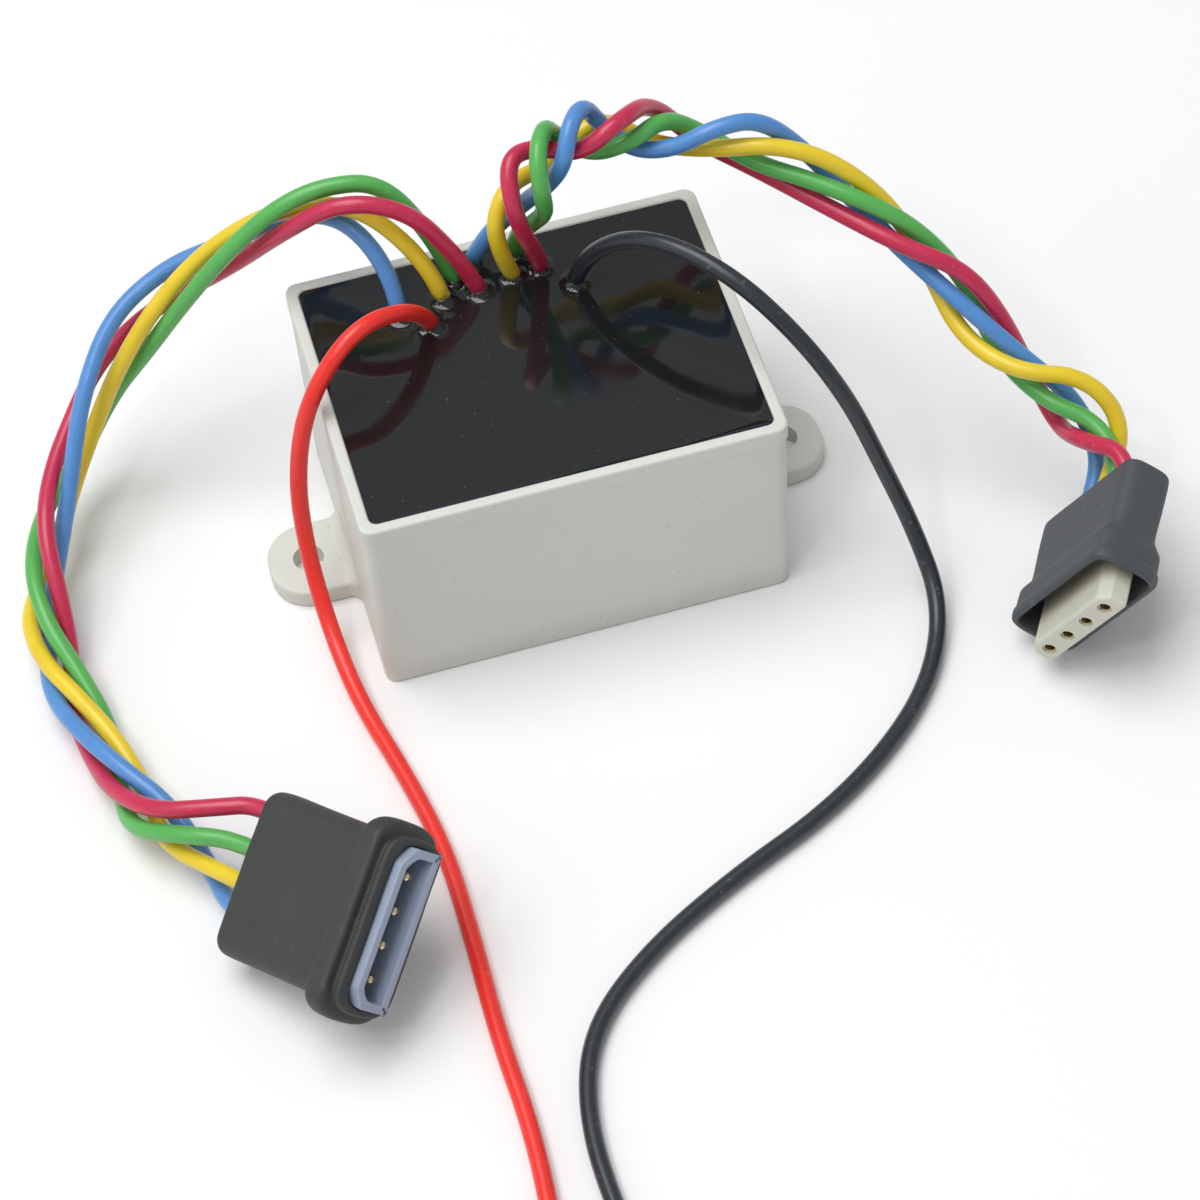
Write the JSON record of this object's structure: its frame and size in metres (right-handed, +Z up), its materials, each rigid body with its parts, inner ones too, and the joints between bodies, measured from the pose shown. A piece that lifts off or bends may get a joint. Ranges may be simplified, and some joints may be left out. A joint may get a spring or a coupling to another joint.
{
  "type": "surge protector module",
  "caption": "Potted in-line surge protector: ivory box with two mounting ears, twisted colour-coded harness tails to a plug and a socket, and two bare-ended leads.",
  "frame": {"origin": "middle of the box's flat underside", "axes": "+Z up out of the open potted face, +X along the box's length through its two ears towards the female connector's side, -Y the box's long front wall"},
  "size_m": [0.1329, 0.1756, 0.0525],
  "materials": {
    "ivory_plastic": "satin moulded",
    "black_potting": "glossy cast",
    "board_laminate": "solder mask",
    "solder": "bright",
    "varistor_coating": "dipped",
    "resistor_coating": "lacquered",
    "tube_ceramic": "glazed",
    "diode_epoxy": "moulded",
    "blue_pvc": "satin extruded",
    "yellow_pvc": "satin extruded",
    "green_pvc": "satin extruded",
    "crimson_pvc": "satin extruded",
    "red_pvc": "satin extruded",
    "black_pvc": "satin extruded",
    "tinned_copper": "tinned strands",
    "boot_rubber": "moulded",
    "plug_plastic": "satin",
    "contact_brass": "plated",
    "tongue_plastic": "satin"
  },
  "bodies": {
    "root": {"housing": "ivory_plastic", "potting_compound": "black_potting", "circuit_board": "board_laminate", "solder_joints": "solder", "line_varistor_1": "varistor_coating", "line_resistor_1": "resistor_coating", "line_varistor_2": "varistor_coating", "line_resistor_2": "resistor_coating", "line_varistor_3": "varistor_coating", "line_resistor_3": "resistor_coating", "line_varistor_4": "varistor_coating", "line_resistor_4": "resistor_coating", "power_varistor": "varistor_coating", "gas_discharge_tube": "tube_ceramic", "clamp_diode_1": "diode_epoxy", "clamp_diode_2": "diode_epoxy", "supply_fuse": "resistor_coating", "left_blue_wire": "blue_pvc", "left_yellow_wire": "yellow_pvc", "left_green_wire": "green_pvc", "left_crimson_wire": "crimson_pvc", "right_blue_wire": "blue_pvc", "right_yellow_wire": "yellow_pvc", "right_green_wire": "green_pvc", "right_crimson_wire": "crimson_pvc", "red_lead": "red_pvc", "black_lead": "black_pvc", "red_lead_tip": "tinned_copper", "black_lead_tip": "tinned_copper", "male_boot": "boot_rubber", "male_housing": "plug_plastic", "male_pin_1": "contact_brass", "male_pin_2": "contact_brass", "male_pin_3": "contact_brass", "male_pin_4": "contact_brass", "female_boot": "boot_rubber", "female_housing": "tongue_plastic", "female_socket_1": "contact_brass", "female_socket_2": "contact_brass", "female_socket_3": "contact_brass", "female_socket_4": "contact_brass"}
  },
  "joints": []
}
